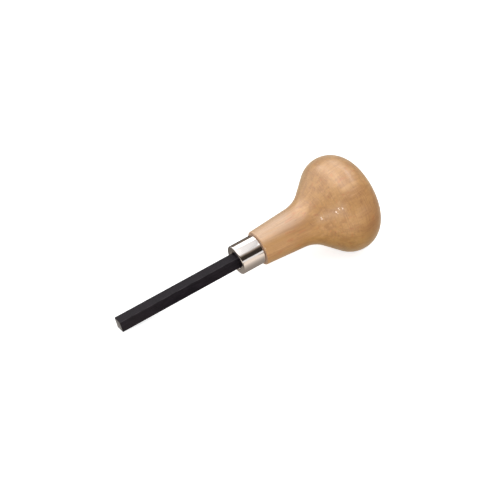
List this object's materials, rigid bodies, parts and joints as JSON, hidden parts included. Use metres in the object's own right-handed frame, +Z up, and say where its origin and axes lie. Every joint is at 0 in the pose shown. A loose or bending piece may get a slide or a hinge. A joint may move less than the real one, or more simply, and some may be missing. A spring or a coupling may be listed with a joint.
{
  "type": "prong pusher",
  "caption": "Hand tool for bending prongs: a square black steel bar with a flat end, set through a bright cup ferrule into a turned wooden mushroom palm handle.",
  "frame": {"origin": "on the surface the tool lies on, under the middle of its bounding box", "axes": "+X along the length, from the bar's working end towards the crown of the handle, which is raised by 10 degrees because the tool lies on its head; +Z up; the tool is symmetric about Y = 0"},
  "size_m": [0.1224, 0.0434, 0.0431],
  "materials": {
    "black_oxide_steel": "black oxide on cold drawn square bar, end ground bright",
    "bright_nickel": "bright nickel plate on drawn steel",
    "pale_hardwood": "turned close-grained hardwood under a clear semi-gloss lacquer"
  },
  "bodies": {
    "root": {"square_bar": "black_oxide_steel", "ferrule": "bright_nickel", "palm_handle": "pale_hardwood"}
  },
  "joints": []
}
